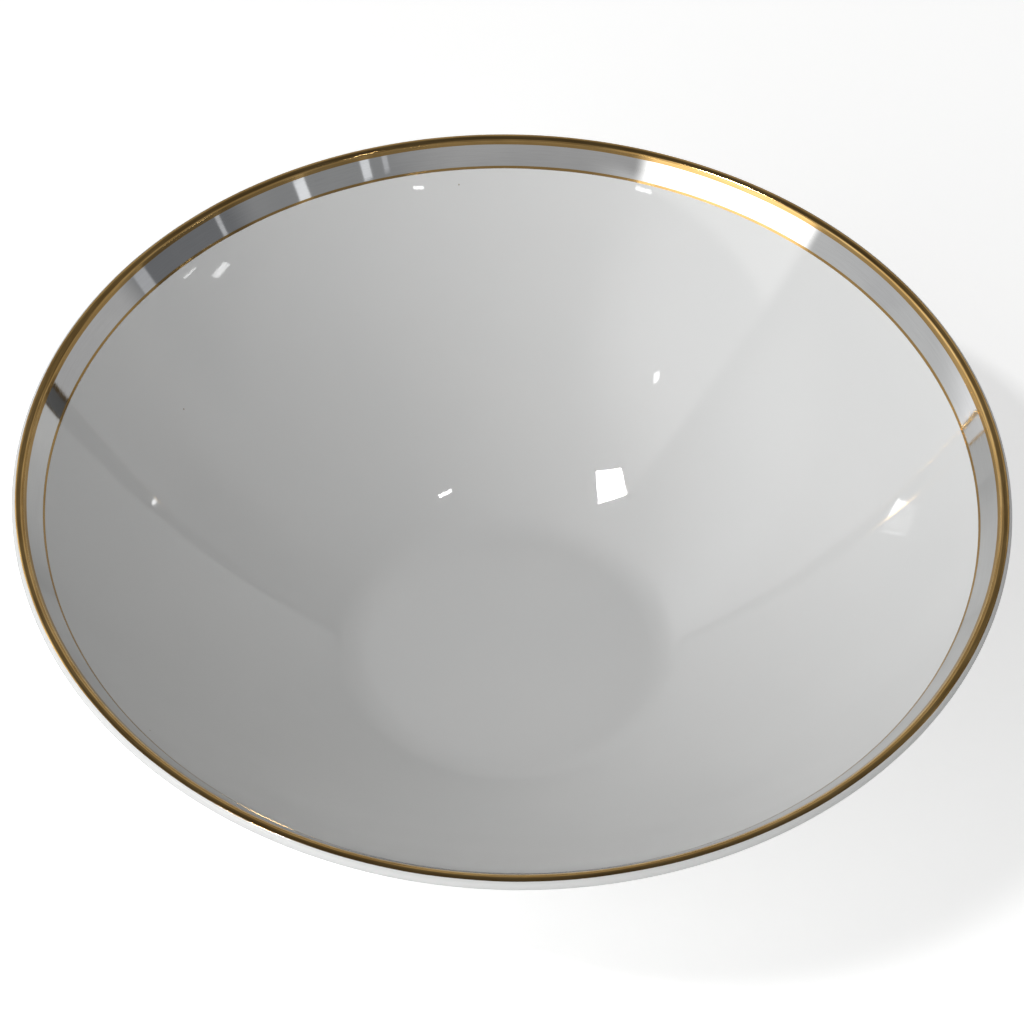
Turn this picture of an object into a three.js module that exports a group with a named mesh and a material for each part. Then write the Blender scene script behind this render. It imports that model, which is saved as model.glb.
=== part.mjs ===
// A flared porcelain serving bowl, in millimetres, +Z up.
//
// The bowl is one fired piece of porcelain, so its separate layers are what the nodes are:
// the porcelain body, the glaze fired onto it, and the three precious-metal bands
// (gold over the lip, platinum inside it, a gold hairline below) fired onto the glaze.
// Every layer is turned about the Z axis from one shared outline of the glazed surface.
// The bowl stands at z = 0 on the bare porcelain of its foot ring.

import * as THREE from 'three';

// ---- Driving dimensions -------------------------------------------------------------------

const rimRadius = 120;            // outermost point of the lip
const lipRadius = 1.62;           // the lip is a full round of this radius
const floorEdgeRadius = 44.7;     // where the flat floor's fillet meets the wall
const floorHeight = 8.7;          // top of the floor above the table
const floorFillet = 16;

// Wall slopes are measured from the vertical, in degrees. The wall bows evenly between them.
const innerSlopeAtFloor = 58;
const innerSlopeAtLip = 33.3;
const outerSlopeAtFoot = 56.4;
const outerSlopeAtLip = 32;

const footOuterRadius = 50.5;     // where the outer wall starts to turn down into the foot ring
const footFillet = 3;
const footTaper = 2;              // draft of the foot ring's outer face, in degrees
const footInnerRadius = 45.2;
const footEdgeRound = 1;
const recessHeight = 4;           // underside of the floor above the table
const recessFillet = 1.5;

const glazeThickness = 0.35;
const metalThickness = 0.1;
const layerGap = 0.05;            // clearance that keeps neighbouring layers apart
const glazeLineHeight = 1.4;      // the glaze stops this far above the table

// Distances down the inner wall, measured from where the lip's round ends.
const goldInnerReach = 0.9;
const hairlineCentre = 7.05;
const hairlineWidth = 0.7;
const goldOuterAngle = 63;        // the gold's outer edge, up the lip from the horizontal
const bandGap = 0.06;             // bare glaze left between two metal bands

const turns = 60;                 // flats around the axis

// ---- Derived dimensions -------------------------------------------------------------------

const radians = THREE.MathUtils.degToRad;
const bodyDepth = glazeThickness + layerGap;
const metalLift = layerGap + metalThickness;
const lipCentreRadius = rimRadius - lipRadius;

// Bow radius of a wall whose slope changes evenly between two radii.
function bowRadius(lowRadius, highRadius, lowSlope, highSlope) {
  const rise = Math.cos(radians(highSlope)) - Math.cos(radians(lowSlope));
  return (highRadius - lowRadius) / rise;
}

const lipInnerEnd = lipCentreRadius - lipRadius * Math.cos(radians(innerSlopeAtLip));
const lipOuterEnd = lipCentreRadius + lipRadius * Math.cos(radians(outerSlopeAtLip));
const innerBow = bowRadius(floorEdgeRadius, lipInnerEnd, innerSlopeAtFloor, innerSlopeAtLip);
const outerBow = bowRadius(footOuterRadius, lipOuterEnd, outerSlopeAtFoot, outerSlopeAtLip);

// ---- The shared outline -------------------------------------------------------------------

// A smooth path in the (radius, height) plane, made of lines and tangent arcs. Each point
// keeps the normal on its left, which is the open air when the path starts on the floor.
class Outline {
  constructor(radius, height) {
    this.radius = radius;
    this.height = height;
    this.heading = 0;
    this.points = [];
    this.mark();
  }

  mark() {
    const normal = new THREE.Vector2(-Math.sin(this.heading), Math.cos(this.heading));
    this.points.push({ place: new THREE.Vector2(this.radius, this.height), normal });
  }

  line(length) {
    this.radius += length * Math.cos(this.heading);
    this.height += length * Math.sin(this.heading);
    this.mark();
    return this;
  }

  // A positive turn bends left, a negative one right.
  arc(bend, turnDegrees, steps) {
    const side = Math.sign(turnDegrees);
    const stepTurn = radians(turnDegrees) / steps;
    const chord = 2 * bend * Math.sin(Math.abs(stepTurn) / 2);
    for (let step = 0; step < steps; step += 1) {
      const chordHeading = this.heading + side * Math.abs(stepTurn) / 2;
      this.radius += chord * Math.cos(chordHeading);
      this.height += chord * Math.sin(chordHeading);
      this.heading += stepTurn;
      this.mark();
    }
    return this;
  }

  get count() {
    return this.points.length;
  }
}

const floorFlatRadius = floorEdgeRadius
  - floorFillet * Math.sin(radians(90 - innerSlopeAtFloor));

const outline = new Outline(0, floorHeight);
outline.line(floorFlatRadius);
outline.arc(floorFillet, 90 - innerSlopeAtFloor, 2);

// The wall is drawn in three stretches, so that points fall on the edges of the metal bands.
const wallTurn = innerSlopeAtFloor - innerSlopeAtLip;
const turnPerMillimetre = THREE.MathUtils.radToDeg(1 / innerBow);
const goldEdgeTurn = goldInnerReach * turnPerMillimetre;
const hairlineTopTurn = (hairlineCentre - hairlineWidth / 2) * turnPerMillimetre;
const hairlineEndTurn = (hairlineCentre + hairlineWidth / 2) * turnPerMillimetre;

outline.arc(innerBow, wallTurn - hairlineEndTurn, 5);
const hairlineEnd = outline.count - 1;
outline.arc(innerBow, hairlineEndTurn - hairlineTopTurn, 1);
const hairlineTop = outline.count - 1;
outline.arc(innerBow, hairlineTopTurn - goldEdgeTurn, 1);
const goldInnerEdge = outline.count - 1;
outline.arc(innerBow, goldEdgeTurn, 1);

// The lip turns right, from the inner wall's direction to the outer wall's.
const lipTurnToGoldEdge = 180 - innerSlopeAtLip - goldOuterAngle;
const lipTurnBelowGold = goldOuterAngle + outerSlopeAtLip;
outline.arc(lipRadius, -lipTurnToGoldEdge, 4);
const goldOuterEdge = outline.count - 1;
outline.arc(lipRadius, -lipTurnBelowGold, 4);

outline.arc(outerBow, outerSlopeAtLip - outerSlopeAtFoot, 5);
outline.arc(footFillet, outerSlopeAtFoot - footTaper, 2);

// The glazed outline would stand bodyDepth below the table: that is where the bare foot,
// which has no glaze on it, comes down to exactly z = 0.
const footOutlineBottom = -bodyDepth;
const footTaperCosine = Math.cos(radians(footTaper));
outline.line((outline.height - glazeLineHeight) / footTaperCosine);
const glazeEnd = outline.count - 1;
const cornerDrop = footEdgeRound * (1 - Math.sin(radians(footTaper)));
outline.line((glazeLineHeight - footOutlineBottom - cornerDrop) / footTaperCosine);
outline.arc(footEdgeRound, footTaper - 90, 2);
outline.line(outline.radius - footInnerRadius - footEdgeRound);
outline.arc(footEdgeRound, -90, 2);
outline.line(glazeLineHeight - outline.height);
const baseGlazeStart = outline.count - 1;
outline.line(recessHeight - recessFillet - outline.height);
outline.arc(recessFillet, 90, 2);
outline.line(outline.radius);
const lastPoint = outline.count - 1;

// ---- Turning a stretch of the outline into a solid -----------------------------------------

// Points of the outline from one index to another, pushed out of the wall by lift. The two
// end points are drawn in along the outline by trim.
function stretch(first, last, lift, trim = 0) {
  const run = outline.points.slice(first, last + 1);
  return run.map(({ place, normal }, index) => {
    const along = new THREE.Vector2(normal.y, -normal.x);
    const inward = (index === 0) - (index === run.length - 1);
    return place.clone().addScaledVector(normal, lift).addScaledVector(along, trim * inward);
  });
}

// Turns a profile about Z. The profile runs with the solid on its right.
function turned(profile) {
  const geometry = new THREE.LatheGeometry([...profile].reverse(), turns);
  geometry.rotateX(Math.PI / 2);
  return geometry;
}

// A layer lies on the outline between two of its points, from innerLift to outerLift above it.
// Its profile closes on itself, except where the layer reaches the axis.
function layer(first, last, innerLift, outerLift, trim = 0) {
  const outer = stretch(first, last, outerLift, trim);
  const inner = stretch(first, last, innerLift, trim).reverse();
  if (first === 0) {
    return turned([...outer, ...inner]);
  }
  if (last === lastPoint) {
    return turned([...inner, ...outer]);
  }
  return turned([...outer, ...inner, outer[0]]);
}

function addPart(group, name, geometry, material) {
  const mesh = new THREE.Mesh(geometry, material);
  mesh.name = name;
  group.add(mesh);
}

// ---- Materials ------------------------------------------------------------------------------

const porcelain = new THREE.MeshStandardMaterial({
  color: 0xf1efe9, roughness: 0.75, metalness: 0,
});
const whiteGlaze = new THREE.MeshStandardMaterial({
  color: 0xf4f5f3, roughness: 0.06, metalness: 0,
});
const gold = new THREE.MeshStandardMaterial({
  color: 0xc9a24b, roughness: 0.14, metalness: 1,
});
const platinum = new THREE.MeshStandardMaterial({
  color: 0xb9b8b5, roughness: 0.08, metalness: 1,
});

// ---- Assembly -------------------------------------------------------------------------------

const group = new THREE.Group();

addPart(group, 'porcelain_body', turned(stretch(0, lastPoint, -bodyDepth)), porcelain);

addPart(group, 'glaze_coat', layer(0, glazeEnd, -glazeThickness, 0), whiteGlaze);

addPart(group, 'base_glaze', layer(baseGlazeStart, lastPoint, -glazeThickness, 0), whiteGlaze);

// A metal band lies on the glaze, and stops bandGap short of the bands beside it.
function metalBand(first, last) {
  return layer(first, last, layerGap, metalLift, bandGap / 2);
}

addPart(group, 'rim_gilding', metalBand(goldInnerEdge, goldOuterEdge), gold);

addPart(group, 'platinum_band', metalBand(hairlineTop, goldInnerEdge), platinum);

addPart(group, 'gold_hairline', metalBand(hairlineEnd, hairlineTop), gold);

export default group;
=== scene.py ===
"""The looks of a flared porcelain serving bowl with a platinum and gold rim.

Every piece is turned about Z from one outline of the glazed surface, which is the CAD's own
outline with fine steps. The bare body, the two coats of glaze and the three fired metal films
are pieces of their own, and each stands for the CAD node of the same layer.
"""

import math

import bpy
from mathutils import Matrix, Quaternion, Vector


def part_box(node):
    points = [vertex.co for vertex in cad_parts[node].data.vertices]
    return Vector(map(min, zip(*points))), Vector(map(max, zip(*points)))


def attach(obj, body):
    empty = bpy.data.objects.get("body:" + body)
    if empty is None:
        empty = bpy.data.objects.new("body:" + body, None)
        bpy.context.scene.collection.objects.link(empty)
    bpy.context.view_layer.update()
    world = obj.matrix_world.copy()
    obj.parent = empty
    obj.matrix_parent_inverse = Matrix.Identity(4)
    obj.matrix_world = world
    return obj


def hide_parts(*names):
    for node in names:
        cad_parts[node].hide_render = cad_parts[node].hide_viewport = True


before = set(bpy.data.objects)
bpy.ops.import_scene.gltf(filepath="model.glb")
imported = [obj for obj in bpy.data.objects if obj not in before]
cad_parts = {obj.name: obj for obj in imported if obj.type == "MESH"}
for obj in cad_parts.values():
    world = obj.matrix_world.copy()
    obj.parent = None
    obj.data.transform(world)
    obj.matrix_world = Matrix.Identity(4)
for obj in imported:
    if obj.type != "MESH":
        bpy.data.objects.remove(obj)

scene = bpy.context.scene
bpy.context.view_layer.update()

# ---- Driving dimensions, in millimetres and degrees ------------------------------------------

MM = 0.001

rim_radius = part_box("glaze_coat")[1].x / MM
lip_radius = 1.62
floor_edge_radius = 44.7
floor_height = 8.7
floor_fillet = 16
inner_slope_at_floor = 58
inner_slope_at_lip = 33.3
outer_slope_at_foot = 56.4
outer_slope_at_lip = 32
foot_outer_radius = 50.5
foot_fillet = 3
foot_taper = 2
foot_inner_radius = 45.2
foot_edge_round = 1
recess_height = 4
recess_fillet = 1.5
glaze_thickness = 0.35
layer_gap = 0.05
glaze_line_height = 1.4

gold_inner_reach = 0.9
hairline_centre = 7.05
hairline_width = 0.72
gold_outer_angle = 63

film_base = 0.006                 # a metal film starts this far above the glaze
platinum_film = 0.026
gold_film = 0.036
film_seam = 0.004                 # between two films that meet edge to edge
# The gold's brown band is partly painted: along the rim gold's seam with the platinum it is a
# painted dark reflection, in the hairline it is thin gold's own brown.
seam_offset = 0.3                 # the gold is brown at its seam, from here inward
seam_fade = 0.5                   # and over this far it turns to full gold
edge_reach = 3.0                  # only this much of a coat follows its wavering edge

TURNS = 288
SPACING = 2.0                     # longest step along a profile, and the most it may turn
STEP_TURN = 4.5
HIDDEN_SPACING = 5.0
HIDDEN_STEP_TURN = 12.0

# ---- The shared outline ----------------------------------------------------------------------


def walk(radius, height, heading, length, turn):
    """Where a path ends after that length, if it turns evenly on the way."""
    half = turn / 2
    chord = length * (math.sin(half) / half if turn else 1)
    radius += chord * math.cos(heading + half)
    height += chord * math.sin(heading + half)
    return radius, height, heading + turn


class Outline:
    """A smooth path in the (radius, height) plane, made of lines and tangent arcs.

    It starts on the floor's centre with the open air on its left. A place on it is given as
    the distance along it.
    """

    def __init__(self, height):
        self.end = (0.0, height, 0.0)
        self.length = 0.0
        self.spans = []

    def line(self, length):
        self.spans.append((self.length, length, 0.0, self.end))
        self.end = walk(*self.end, length, 0.0)
        self.length += length

    def arc(self, bend, turn_degrees):
        """A positive turn bends left, a negative one right."""
        turn = math.radians(turn_degrees)
        length = bend * abs(turn)
        self.spans.append((self.length, length, turn, self.end))
        self.end = walk(*self.end, length, turn)
        self.length += length

    def at(self, place, lift=0.0):
        """(radius, height) of a place on the path, pushed into the open air by lift."""
        start, length, turn, begin = next(s for s in reversed(self.spans) if s[0] <= place)
        share = (place - start) / length
        radius, height, heading = walk(*begin, place - start, turn * share)
        return radius - lift * math.sin(heading), height + lift * math.cos(heading)

    def places(self, first, last, spacing=SPACING, step_turn=STEP_TURN):
        """Distances from first to last, close together, with every joint of the path."""
        found = [first]
        for start, length, turn, _ in self.spans:
            low, high = max(start, first), min(start + length, last)
            if high - low < 1e-6:
                continue
            part_turn = math.degrees(abs(turn)) * (high - low) / length
            steps = max(1, math.ceil((high - low) / spacing), math.ceil(part_turn / step_turn))
            found += [low + (high - low) * step / steps for step in range(1, steps + 1)]
        return found


def bow_radius(low_radius, high_radius, low_slope, high_slope):
    """Radius of an arc whose slope from the vertical changes between two radii."""
    rise = math.cos(math.radians(high_slope)) - math.cos(math.radians(low_slope))
    return (high_radius - low_radius) / rise


body_depth = glaze_thickness + layer_gap
lip_centre_radius = rim_radius - lip_radius
lip_inner_end = lip_centre_radius - lip_radius * math.cos(math.radians(inner_slope_at_lip))
lip_outer_end = lip_centre_radius + lip_radius * math.cos(math.radians(outer_slope_at_lip))
inner_bow = bow_radius(
    floor_edge_radius, lip_inner_end, inner_slope_at_floor, inner_slope_at_lip
)
outer_bow = bow_radius(
    foot_outer_radius, lip_outer_end, outer_slope_at_foot, outer_slope_at_lip
)

outline = Outline(floor_height)
fillet_turn = 90 - inner_slope_at_floor
outline.line(floor_edge_radius - floor_fillet * math.sin(math.radians(fillet_turn)))
outline.arc(floor_fillet, fillet_turn)
outline.arc(inner_bow, inner_slope_at_floor - inner_slope_at_lip)
lip_start = outline.length
outline.arc(lip_radius, inner_slope_at_lip - outer_slope_at_lip - 180)
outline.arc(outer_bow, outer_slope_at_lip - outer_slope_at_foot)
outline.arc(foot_fillet, outer_slope_at_foot - foot_taper)
taper_cosine = math.cos(math.radians(foot_taper))
outline.line((outline.end[1] - glaze_line_height) / taper_cosine)
glaze_end = outline.length
corner_drop = foot_edge_round * (1 - math.sin(math.radians(foot_taper)))
outline.line((glaze_line_height + body_depth - corner_drop) / taper_cosine)
outline.arc(foot_edge_round, foot_taper - 90)
outline.line(outline.end[0] - foot_inner_radius - foot_edge_round)
outline.arc(foot_edge_round, -90)
outline.line(glaze_line_height - outline.end[1])
base_glaze_start = outline.length
outline.line(recess_height - recess_fillet - outline.end[1])
outline.arc(recess_fillet, 90)
outline.line(outline.end[0])
outline_end = outline.length

hairline_low = lip_start - hairline_centre - hairline_width / 2
hairline_high = lip_start - hairline_centre + hairline_width / 2
gold_inner_edge = lip_start - gold_inner_reach
lip_turn_to_gold = math.radians(180 - inner_slope_at_lip - gold_outer_angle)
gold_outer_edge = lip_start + lip_radius * lip_turn_to_gold
seam_start = (outline.at(gold_inner_edge)[0] + seam_offset) * MM
seam_end = seam_start + seam_fade * MM

# ---- Turning profiles into pieces ------------------------------------------------------------


def turned(name, profile_at, closed):
    """A mesh object turned about Z. profile_at(angle) gives its profile there as a list of
    (radius, height), with the solid on its right. A closed one joins its own ends, and an
    open one starts and ends on the axis."""
    angles = [2 * math.pi * turn / TURNS for turn in range(TURNS)]
    columns = [profile_at(angle) for angle in angles]
    vertices = []
    rings = []
    for row, (radius, height) in enumerate(columns[0]):
        if radius < 1e-6:
            rings.append([len(vertices)] * TURNS)
            vertices.append((0.0, 0.0, height * MM))
            continue
        rings.append(range(len(vertices), len(vertices) + TURNS))
        for angle, column in zip(angles, columns):
            radius, height = column[row]
            x, y = radius * math.cos(angle), radius * math.sin(angle)
            vertices.append((x * MM, y * MM, height * MM))
    faces = []
    for low, high in zip(rings, rings[1:] + rings[:1] * closed):
        for here in range(TURNS):
            there = (here + 1) % TURNS
            corners = (low[here], high[here], high[there], low[there])
            faces.append(list(dict.fromkeys(corners)))
    mesh = bpy.data.meshes.new(name)
    mesh.from_pydata(vertices, [], [face for face in faces if len(face) > 2])
    mesh.shade_smooth()
    mesh.set_sharp_from_angle(angle=math.radians(40))
    piece = bpy.data.objects.new(name, mesh)
    scene.collection.objects.link(piece)
    return piece


def wobble(angle, seed):
    """A hand's unevenness round the bowl, from about -1 to 1."""
    waves = ((3, 0.42), (7, 0.27), (12, 0.2), (23, 0.16), (41, 0.12))
    return sum(size * math.sin(rate * angle + seed * rate * rate) for rate, size in waves)


def coat(name, first_at, last_at, depth):
    """A layer from depth below the outline up to it, between two places that may differ
    with the angle. Its first place or its last may be on the axis."""
    first_mean, last_mean = first_at(0.0), last_at(0.0)
    shown = outline.places(first_mean, last_mean)
    hidden = outline.places(first_mean, last_mean, HIDDEN_SPACING, HIDDEN_STEP_TURN)

    def moved(places, angle):
        """Only the places near a moving end follow it."""
        first, last = first_at(angle), last_at(angle)
        out = []
        for place in places:
            place += (first - first_mean) * max(0.0, 1 - (place - first_mean) / edge_reach)
            place += (last - last_mean) * max(0.0, 1 - (last_mean - place) / edge_reach)
            out.append(place)
        return out

    def profile_at(angle):
        outer = [outline.at(place) for place in moved(shown, angle)]
        inner = [outline.at(place, -depth) for place in moved(hidden, angle)][::-1]
        return inner + outer if last_mean == outline_end else outer + inner

    return turned(name, profile_at, closed=0 < first_mean and last_mean < outline_end)


def film(name, first_at, last_at, thickness, steps):
    """A thin closed skin on the glaze, between two places that differ with the angle."""

    def profile_at(angle):
        first, last = first_at(angle), last_at(angle)
        places = [first + (last - first) * step / steps for step in range(steps + 1)]
        top = [outline.at(place, thickness) for place in places]
        base = [outline.at(place, film_base) for place in places]
        return top + base[::-1]

    return turned(name, profile_at, closed=True)


# ---- Node helpers ----------------------------------------------------------------------------


def add_node(tree, kind, inputs, **settings):
    """A new node. inputs gives a socket's value, or the socket that feeds it."""
    made = tree.nodes.new(kind)
    for key, value in settings.items():
        setattr(made, key, value)
    for key, value in inputs.items():
        if isinstance(value, bpy.types.NodeSocket):
            tree.links.new(value, made.inputs[key])
        else:
            made.inputs[key].default_value = value
    return made


def noise(tree, vector, scale, detail=2.0, roughness=0.5):
    inputs = {"Vector": vector, "Scale": scale, "Detail": detail, "Roughness": roughness}
    return add_node(tree, "ShaderNodeTexNoise", inputs).outputs["Fac"]


def remap(tree, value, low, high, to_low, to_high, smooth=False):
    inputs = {
        "Value": value,
        "From Min": low,
        "From Max": high,
        "To Min": to_low,
        "To Max": to_high,
    }
    kind = "SMOOTHSTEP" if smooth else "LINEAR"
    return add_node(
        tree, "ShaderNodeMapRange", inputs, interpolation_type=kind
    ).outputs["Result"]


def blend_colours(tree, factor, first, second):
    inputs = {0: factor, 6: first, 7: second}
    return add_node(tree, "ShaderNodeMix", inputs, data_type="RGBA").outputs[2]


def arithmetic(tree, operation, first, second):
    inputs = {0: first, 1: second}
    return add_node(tree, "ShaderNodeMath", inputs, operation=operation).outputs[0]


def bump(tree, height, distance, under=None):
    """A bump of that height in metres, on top of another if one is given."""
    inputs = {"Height": height, "Distance": distance, "Strength": 1.0}
    if under is not None:
        inputs["Normal"] = under
    return add_node(tree, "ShaderNodeBump", inputs).outputs["Normal"]


def object_place(tree):
    return add_node(tree, "ShaderNodeTexCoord", {}).outputs["Object"]


def vector_maths(tree, operation, inputs):
    return add_node(tree, "ShaderNodeVectorMath", inputs, operation=operation).outputs


def flat_place(tree):
    """The place on the piece, seen from above."""
    return vector_maths(tree, "MULTIPLY", {0: object_place(tree), 1: (1, 1, 0)})["Vector"]


def axis_distance(tree):
    """Distance from the bowl's axis, in metres."""
    return vector_maths(tree, "LENGTH", {0: flat_place(tree)})["Value"]


def height_above_table(tree):
    return add_node(tree, "ShaderNodeSeparateXYZ", {0: object_place(tree)}).outputs["Z"]


def round_the_axis(tree, along_scale, across_scale):
    """A texture place that streaks round the bowl: slow along the rim, fast across it."""
    heading = vector_maths(tree, "NORMALIZE", {0: flat_place(tree)})["Vector"]
    slow = vector_maths(tree, "SCALE", {0: heading, "Scale": along_scale})["Vector"]
    across = arithmetic(tree, "ADD", axis_distance(tree), height_above_table(tree))
    fast = arithmetic(tree, "MULTIPLY", across, across_scale)
    lifted = add_node(tree, "ShaderNodeCombineXYZ", {"Z": fast}).outputs[0]
    return vector_maths(tree, "ADD", {0: slow, 1: lifted})["Vector"]


def seen_by_camera(tree):
    """1 for what is looked at directly, and 0 for what lights or is mirrored."""
    return add_node(tree, "ShaderNodeLightPath", {}).outputs["Is Camera Ray"]


def new_material(name, metallic, ior):
    material = bpy.data.materials.new(name)
    material.use_nodes = True
    shader = material.node_tree.nodes["Principled BSDF"]
    shader.inputs["Metallic"].default_value = metallic
    shader.inputs["IOR"].default_value = ior
    return material, material.node_tree, shader


def connect(tree, shader, **sockets):
    """Feeds the shader's sockets, named with _ for a space."""
    for name, source in sockets.items():
        tree.links.new(source, shader.inputs[name.replace("_", " ")])


# ---- Materials -------------------------------------------------------------------------------


def make_white_glaze():
    """A clear glossy glaze on white porcelain, with a faint orange peel and fine specks."""
    material, tree, shader = new_material("white_glaze", 0.0, 1.5)
    place = object_place(tree)
    cloud = noise(tree, place, 24.0, 3.0)
    drift = remap(tree, cloud, 0.35, 0.65, 0.0, 1.0)
    tone = blend_colours(tree, drift, (0.84, 0.845, 0.84, 1), (0.855, 0.857, 0.85, 1))
    speck_spots = add_node(
        tree, "ShaderNodeTexVoronoi", {"Vector": place, "Scale": 150.0}
    ).outputs["Distance"]
    rarity = noise(tree, place, 61.0, 0.0)
    speck_size = remap(tree, rarity, 0.69, 0.78, 0.0, 0.035)
    speck = arithmetic(tree, "LESS_THAN", speck_spots, speck_size)
    tone = blend_colours(tree, speck, tone, (0.52, 0.47, 0.4, 1))
    sheen = noise(tree, place, 90.0, 2.0)
    gloss = remap(tree, sheen, 0.3, 0.7, 0.012, 0.03)
    swell = noise(tree, place, 70.0, 1.0)
    peel = noise(tree, place, 620.0, 1.0)
    waves = bump(tree, swell, 0.000018)
    skin = bump(tree, peel, 0.0000006, waves)
    connect(tree, shader, Base_Color=tone, Roughness=gloss, Normal=skin)
    return material


def make_bare_porcelain():
    """Unglazed fired porcelain: cream, matt and finely grained, rubbed where it stands."""
    material, tree, shader = new_material("bare_porcelain", 0.0, 1.45)
    place = object_place(tree)
    grain = noise(tree, place, 2600.0, 3.0)
    cloud = noise(tree, place, 60.0, 3.0)
    mottle = remap(tree, cloud, 0.3, 0.7, 0.0, 1.0)
    tone = blend_colours(tree, mottle, (0.74, 0.7, 0.63, 1), (0.82, 0.79, 0.73, 1))
    contact = remap(tree, height_above_table(tree), 0.0, 0.6 * MM, 1.0, 0.0)
    rub = arithmetic(tree, "MULTIPLY", contact, remap(tree, grain, 0.4, 0.65, 0.0, 0.7))
    tone = blend_colours(tree, rub, tone, (0.5, 0.46, 0.41, 1))
    matt = remap(tree, grain, 0.3, 0.7, 0.55, 0.75)
    skin = bump(tree, grain, 0.00003)
    connect(tree, shader, Base_Color=tone, Roughness=matt, Normal=skin)
    return material


def make_platinum():
    """A platinum film with the mirror of the glaze under it and faint brush streaks."""
    material, tree, shader = new_material("platinum_lustre", 1.0, 1.5)
    place = object_place(tree)
    streak = noise(tree, round_the_axis(tree, 14.0, 2600.0), 1.0, 2.0)
    cloud = noise(tree, place, 55.0, 3.0)
    drift = remap(tree, cloud, 0.3, 0.7, 0.0, 1.0)
    tone = blend_colours(tree, drift, (0.59, 0.59, 0.59, 1), (0.65, 0.65, 0.645, 1))
    shade = remap(tree, streak, 0.35, 0.7, 0.0, 0.16)
    tone = blend_colours(tree, shade, tone, (0.46, 0.455, 0.45, 1))
    gloss = remap(tree, streak, 0.3, 0.75, 0.02, 0.05)
    swell = noise(tree, place, 80.0, 1.0)
    waves = bump(tree, swell, 0.00002)
    skin = bump(tree, streak, 0.0000005, waves)
    connect(tree, shader, Base_Color=tone, Roughness=gloss, Normal=skin)
    return material


def make_gold():
    """A burnished gold film, brown where it is brushed thin in the hairline. Along the seam
    where the rim's gold meets the platinum the brown is a painted dark reflection."""
    material, tree, shader = new_material("gold_lustre", 1.0, 1.5)
    place = object_place(tree)
    streak = noise(tree, round_the_axis(tree, 22.0, 3400.0), 1.0, 2.0)
    patch = noise(tree, round_the_axis(tree, 7.0, 700.0), 1.0, 3.0)
    cloud = noise(tree, place, 70.0, 3.0)
    drift = remap(tree, cloud, 0.3, 0.7, 0.0, 1.0)
    tone = blend_colours(tree, drift, (0.86, 0.55, 0.2, 1), (0.93, 0.63, 0.27, 1))
    worn = remap(tree, patch, 0.38, 0.68, 0.0, 0.6, smooth=True)
    tone = blend_colours(tree, worn, tone, (0.5, 0.3, 0.1, 1))
    shade = remap(tree, streak, 0.4, 0.75, 0.0, 0.4)
    tone = blend_colours(tree, shade, tone, (0.36, 0.19, 0.055, 1))
    # Painted dark reflection: the rim gold is darkened brown along its seam with the platinum.
    # The same brown in the hairline is thin gold's own colour.
    seam = remap(tree, axis_distance(tree), seam_start, seam_end, 0.78, 0.0, smooth=True)
    tone = blend_colours(tree, seam, tone, (0.3, 0.19, 0.07, 1))
    gloss = remap(tree, streak, 0.3, 0.75, 0.06, 0.15)
    swell = noise(tree, place, 160.0, 2.0)
    waves = bump(tree, swell, 0.00003)
    skin = bump(tree, streak, 0.000003, waves)
    connect(tree, shader, Base_Color=tone, Roughness=gloss, Normal=skin)
    return material


def make_floor_paper():
    """Pale paper. It looks brighter than it is, so that it stays white without washing out
    the bowl above it."""
    material, tree, shader = new_material("studio_paper", 0.0, 1.45)
    place = object_place(tree)
    cloud = noise(tree, place, 1.5, 3.0)
    fibre = noise(tree, place, 900.0, 2.0)
    drift = remap(tree, cloud, 0.3, 0.7, 0.0, 1.0)
    tone = blend_colours(tree, drift, (0.9, 0.9, 0.895, 1), (0.92, 0.92, 0.915, 1))
    glow = remap(tree, seen_by_camera(tree), 0.0, 1.0, 0.0, 0.52)
    shader.inputs["Roughness"].default_value = 0.9
    shader.inputs["Specular IOR Level"].default_value = 0.1
    shader.inputs["Emission Color"].default_value = (1.0, 1.0, 1.0, 1.0)
    skin = bump(tree, fibre, 0.00002)
    connect(tree, shader, Base_Color=tone, Emission_Strength=glow, Normal=skin)
    return material


# ---- The bowl --------------------------------------------------------------------------------


def finish_piece(piece, node, material):
    piece.data.materials.append(material)
    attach(piece, "root")
    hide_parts(node)


def build_body(material):
    """The fired body, which shows only round the foot."""
    places = outline.places(0.0, outline_end, HIDDEN_SPACING / 2, HIDDEN_STEP_TURN / 2)
    profile = [outline.at(place, -body_depth) for place in places]
    piece = turned("porcelain_body_fine", lambda angle: profile, closed=False)
    finish_piece(piece, "porcelain_body", material)


def build_glaze(material):
    def lower_edge(angle):
        return glaze_end + 0.12 * wobble(angle, 1.3)

    def base_edge(angle):
        return base_glaze_start + 0.1 * wobble(angle, 2.1)

    piece = coat("glaze_coat_fine", lambda angle: 0.0, lower_edge, glaze_thickness)
    finish_piece(piece, "glaze_coat", material)
    piece = coat("base_glaze_fine", base_edge, lambda angle: outline_end, glaze_thickness)
    finish_piece(piece, "base_glaze", material)


def gold_edge(angle):
    return gold_inner_edge + 0.06 * wobble(angle, 0.7)


def hairline_top(angle):
    return hairline_high + 0.05 * wobble(angle, 3.3)


def build_films(gold, platinum):
    def gold_lip_edge(angle):
        return gold_outer_edge + 0.12 * wobble(angle, 5.9)

    def hairline_base(angle):
        return hairline_low + 0.07 * wobble(angle, 8.2)

    def above(edge):
        return lambda angle: edge(angle) + film_seam

    piece = film("rim_gilding_fine", above(gold_edge), gold_lip_edge, gold_film, 40)
    finish_piece(piece, "rim_gilding", gold)
    piece = film("platinum_band_fine", above(hairline_top), gold_edge, platinum_film, 12)
    finish_piece(piece, "platinum_band", platinum)
    piece = film("gold_hairline_fine", hairline_base, hairline_top, gold_film, 4)
    finish_piece(piece, "gold_hairline", gold)


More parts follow.
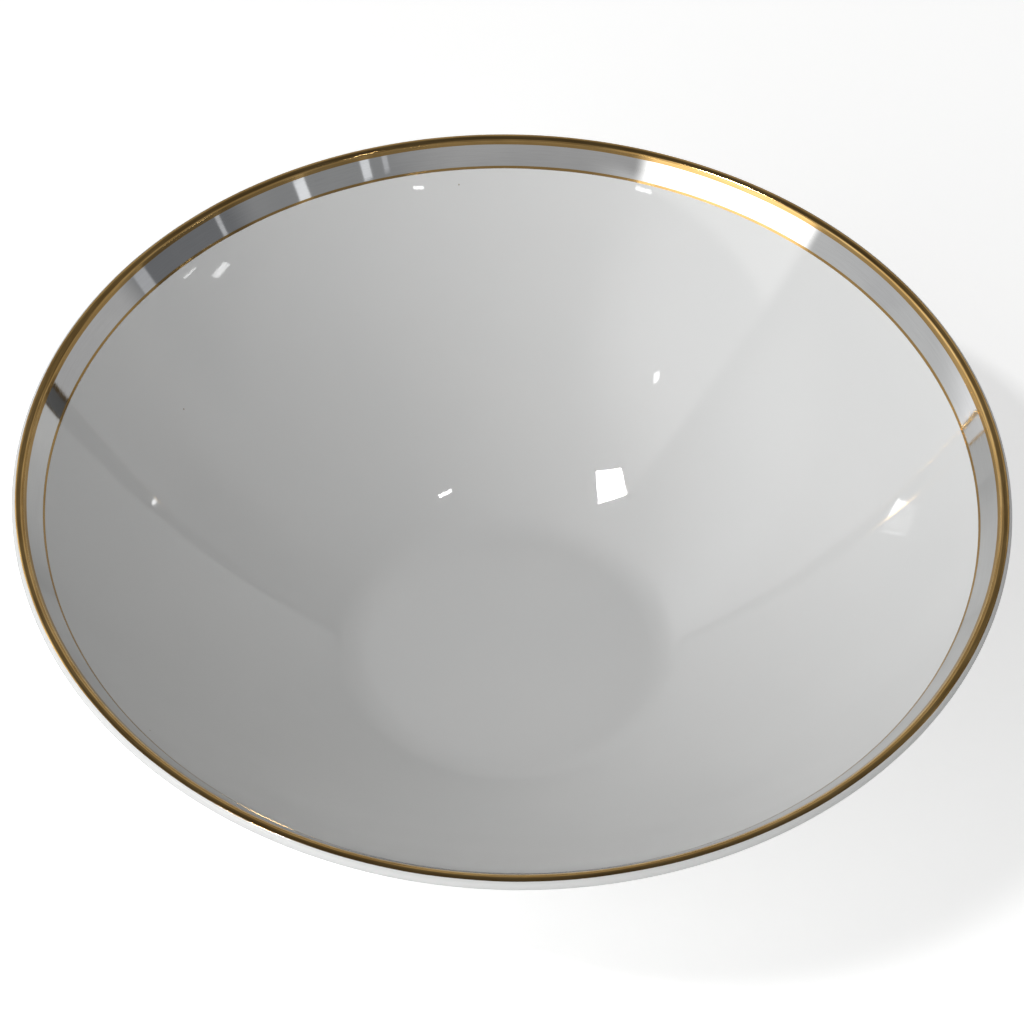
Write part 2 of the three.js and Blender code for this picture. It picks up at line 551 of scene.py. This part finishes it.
# ---- Studio ----------------------------------------------------------------------------------

LAMP_REACH = 2.0                  # from the rim's centre to every lamp, in metres
FLOOR_HALF_WIDTH = 4.0
FLOOR_CELLS = 8
BACKDROP = (0.97, 0.97, 0.97, 1)

rim_centre = Vector((0.0, 0.0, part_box("glaze_coat")[1].z))


def towards(azimuth, elevation):
    """A direction seen from the bowl. Azimuth 0 is the camera's side, 90 is the right."""
    around, up = math.radians(azimuth), math.radians(elevation)
    flat = math.cos(up)
    return Vector((math.sin(around) * flat, -math.cos(around) * flat, math.sin(up)))


def build_floor():
    step = 2 * FLOOR_HALF_WIDTH / FLOOR_CELLS
    across = FLOOR_CELLS + 1
    corners = [
        (-FLOOR_HALF_WIDTH + step * column, -FLOOR_HALF_WIDTH + step * row, 0.0)
        for row in range(across)
        for column in range(across)
    ]
    faces = [
        (corner, corner + 1, corner + across + 1, corner + across)
        for row in range(FLOOR_CELLS)
        for corner in range(row * across, row * across + FLOOR_CELLS)
    ]
    mesh = bpy.data.meshes.new("studio_floor")
    mesh.from_pydata(corners, [], faces)
    mesh.materials.append(make_floor_paper())
    floor = bpy.data.objects.new("studio_floor", mesh)
    scene.collection.objects.link(floor)


def area_light(name, azimuth, elevation, first, second, radiance):
    """A rectangle of light. first and second are the angles (left, up), seen from the bowl,
    that its two edges fill, and it slants away where they don't cross squarely. Its radiance
    is against 1 for a white that just clips."""
    skew = first[0] * second[0] + first[1] * second[1]
    slant = math.sqrt(abs(skew))
    edges = [Vector((*first, slant)), Vector((*second, -math.copysign(slant, skew)))]
    across, up = (edge.normalized() for edge in edges)
    facing = Matrix((across, up, across.cross(up))).transposed()
    light = bpy.data.lights.new(name, "AREA")
    light.shape = "RECTANGLE"
    light.size, light.size_y = (LAMP_REACH * math.radians(edge.length) for edge in edges)
    light.energy = radiance * math.pi * light.size * light.size_y
    lamp = bpy.data.objects.new(name, light)
    direction = towards(azimuth, elevation)
    lamp.location = rim_centre + direction * LAMP_REACH
    lamp.rotation_mode = "QUATERNION"
    sight = (-direction).to_track_quat("-Z", "Y")
    lamp.rotation_quaternion = sight @ facing.to_quaternion()
    scene.collection.objects.link(lamp)


def build_lights():
    area_light("skylight", -59.1, 54.6, (5.75, -0.1), (5.4, 4.35), 117.0)
    area_light("lamp_left", -52.4, 43.7, (0.98, -0.7), (0.82, 0.77), 16.0)
    area_light("lamp_right", 47.9, 59.8, (4.4, -1.4), (0.15, 0.3), 45.0)
    area_light("lamp_low_right", 76, 21.6, (3.5, -0.73), (-0.9, 0.71), 9.0)
    area_light("lamp_edge_right", 82.2, 18.35, (3.2, -0.9), (-0.1, 0.25), 8.0)
    area_light("lamp_front_right", 25.1, 30.4, (2.05, -0.38), (0.07, 0.35), 16.0)
    area_light("lamp_front_left", -29.3, 29.3, (3.4, 0.35), (-0.02, 0.4), 12.0)


PAST_BACK = 400                   # an azimuth limit beyond the join at 180, straight behind

# Panels of light and shade on the room's walls, each painted over the ones before it. A row
# has its limits in azimuth, then in elevation, then its colour. Limits are two angles in
# degrees, low and high, then how softly the panel starts and ends there.
ROOM_PANELS = (
    # The left wall: plain, brighter near the floor, and brighter again above.
    ((-132, -66, 24, 3), (-10, 40, 5, 12), (0.7, 0.705, 0.71)),
    ((-132, -68, 20, 3), (-10, 3, 5, 5), (1.35, 1.36, 1.38)),
    ((-128, -72, 20, 8), (24, 38, 5, 9), (1.2, 1.21, 1.22)),
    # The window, front left: the wall under it, its hazy upper part, its bright lower part.
    ((-67, -30, 2, 10), (-10, 11, 5, 2), (0.95, 0.95, 0.95)),
    ((-67, -28, 2, 15), (27, 50, 1, 9), (1.55, 1.56, 1.57)),
    ((-67, -28, 2, 3), (11, 27.5, 2, 1), (2.9, 2.9, 2.88)),
    # Shade behind the camera, on the front right and on the right.
    ((-20, 20, 8, 8), (34, 60, 4, 8), (0.22, 0.215, 0.21)),
    ((24, 62, 10, 6), (14, 31, 5, 4), (0.33, 0.335, 0.34)),
    ((62, 92, 6, 5), (-10, 27, 5, 5), (0.2, 0.205, 0.215)),
    # The back of the room, up to the join and on from it: dark, with a paler strip.
    ((106, PAST_BACK, 6, 9), (14, 60, 8, 9), (0.13, 0.128, 0.124)),
    ((-PAST_BACK, -140, 9, 14), (14, 60, 8, 9), (0.13, 0.128, 0.124)),
    ((128, PAST_BACK, 9, 9), (-10, 14, 5, 8), (0.34, 0.338, 0.33)),
    ((-PAST_BACK, -145, 9, 9), (-10, 14, 5, 8), (0.34, 0.338, 0.33)),
    ((130, PAST_BACK, 9, 9), (22, 38, 3, 5), (0.4, 0.395, 0.385)),
    ((-PAST_BACK, -150, 9, 9), (22, 38, 3, 5), (0.4, 0.395, 0.385)),
    # Low in front.
    ((-24, 60, 6, 10), (-10, 13, 5, 5), (0.64, 0.64, 0.64)),
    # Small panes that the platinum mirrors.
    ((49, 51.5, 0.3, 0.3), (21.6, 24.4, 0.3, 0.3), (1.1, 1.12, 1.15)),
    ((34.4, 36.4, 0.2, 0.2), (23.6, 26.2, 0.2, 0.2), (0.95, 0.97, 1.0)),
    ((30.2, 31.4, 0.2, 0.2), (24, 26.4, 0.2, 0.2), (0.6, 0.61, 0.63)),
    ((69, 70, 0.2, 0.2), (17, 20.2, 0.2, 0.2), (0.62, 0.63, 0.65)),
    ((88, 91, 0.3, 0.3), (11, 14.6, 0.3, 0.3), (0.55, 0.56, 0.58)),
)


def panel(tree, azimuth, elevation, around, up):
    """How much of a panel is seen in a direction, from its limits in azimuth and elevation."""
    factors = []
    for angle, (low, high, soft_low, soft_high) in ((azimuth, around), (elevation, up)):
        factors.append(remap(tree, angle, low - soft_low, low + soft_low, 0, 1, smooth=True))
        factors.append(remap(tree, angle, high - soft_high, high + soft_high, 1, 0, smooth=True))
    sides = arithmetic(tree, "MULTIPLY", factors[0], factors[1])
    ends = arithmetic(tree, "MULTIPLY", factors[2], factors[3])
    return arithmetic(tree, "MULTIPLY", sides, ends)


def sky_angles(tree):
    """Azimuth and elevation of the direction that is looked in, in degrees."""
    direction = add_node(tree, "ShaderNodeTexCoord", {}).outputs["Generated"]
    split = add_node(tree, "ShaderNodeSeparateXYZ", {0: direction}).outputs
    front = arithmetic(tree, "MULTIPLY", split["Y"], -1.0)
    around = arithmetic(tree, "ARCTAN2", split["X"], front)
    up = add_node(tree, "ShaderNodeMath", {0: split["Z"]}, operation="ARCSINE").outputs[0]
    return (
        arithmetic(tree, "MULTIPLY", around, math.degrees(1)),
        arithmetic(tree, "MULTIPLY", up, math.degrees(1)),
    )


def build_world():
    """A room with a window on the left and a dark ceiling. The camera itself sees a plain
    pale backdrop."""
    world = bpy.data.worlds.new("pale_room")
    scene.world = world
    world.use_nodes = True
    tree = world.node_tree
    azimuth, elevation = sky_angles(tree)
    height = remap(tree, elevation, 18.0, 58.0, 0.0, 1.0, smooth=True)
    room = blend_colours(tree, height, (0.53, 0.53, 0.53, 1), (0.07, 0.07, 0.07, 1))
    for sides, ends, shade in ROOM_PANELS:
        factor = panel(tree, azimuth, elevation, sides, ends)
        room = blend_colours(tree, factor, room, (*shade, 1))
    shown = blend_colours(tree, seen_by_camera(tree), room, BACKDROP)
    tree.links.new(shown, tree.nodes["Background"].inputs["Color"])


def build_camera():
    """A portrait lens above the near side, turned a little so the far rim leans."""
    elevation, distance, aim_drop, lean_angle = 48.08, 0.5943, 0.0197, 1.7
    camera = bpy.data.objects.new("camera", bpy.data.cameras.new("camera"))
    camera.data.lens = 86.53
    camera.data.sensor_width = 36.0
    camera.location = rim_centre + towards(0, elevation) * distance
    aim = rim_centre - Vector((0, 0, aim_drop))
    camera.rotation_mode = "QUATERNION"
    lean = Quaternion((0, 0, 1), math.radians(lean_angle))
    sight = (aim - camera.location).to_track_quat("-Z", "Y")
    camera.rotation_quaternion = sight @ lean
    scene.collection.objects.link(camera)
    scene.camera = camera


white_glaze = make_white_glaze()
gold_lustre = make_gold()
build_body(make_bare_porcelain())
build_glaze(white_glaze)
build_films(gold_lustre, make_platinum())
build_floor()
build_lights()
build_world()
build_camera()
scene.view_settings.view_transform = "Standard"
